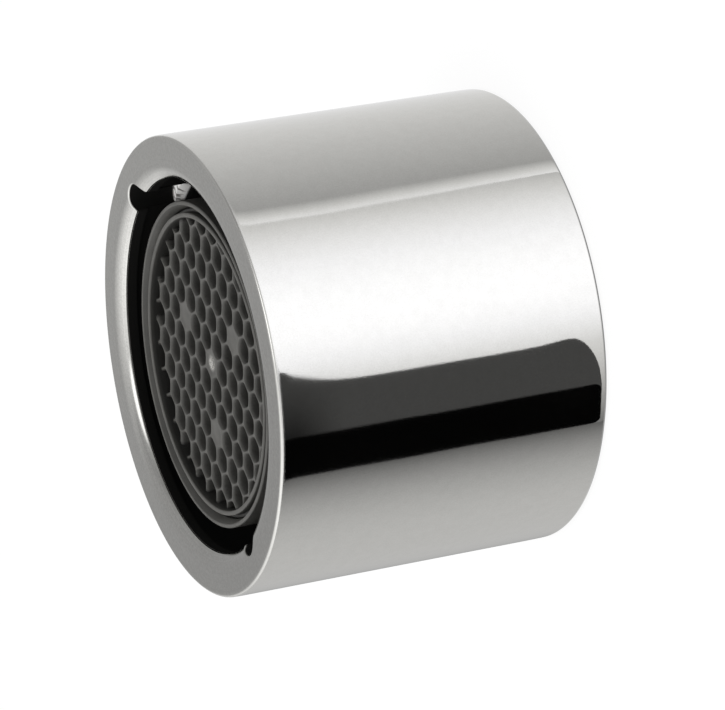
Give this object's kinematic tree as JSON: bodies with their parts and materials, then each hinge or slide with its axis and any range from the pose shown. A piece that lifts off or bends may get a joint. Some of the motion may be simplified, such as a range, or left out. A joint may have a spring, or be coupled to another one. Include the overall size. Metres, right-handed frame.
{
  "type": "tap aerator",
  "caption": "Chromed round tap aerator with a threaded inlet, key notches in the outlet lip and a dark grey honeycomb insert that mixes air into the water.",
  "frame": {"origin": "centre of the inlet end face, on the axis", "axes": "+Z along the axis from the inlet to the outlet; +X through a key notch in the outlet lip"},
  "size_m": [0.024, 0.024, 0.018],
  "materials": {
    "chromed_brass": "polished",
    "black_rubber": "matte",
    "pale_acetal": "satin",
    "light_grey_acetal": "satin",
    "dark_grey_acetal": "satin"
  },
  "bodies": {
    "root": {"housing": "chromed_brass", "sealing_washer": "black_rubber", "strainer": "pale_acetal", "jet_plate": "light_grey_acetal", "insert_casing": "dark_grey_acetal", "upper_mixing_grid": "light_grey_acetal", "lower_mixing_grid": "light_grey_acetal", "honeycomb": "dark_grey_acetal"}
  },
  "joints": []
}
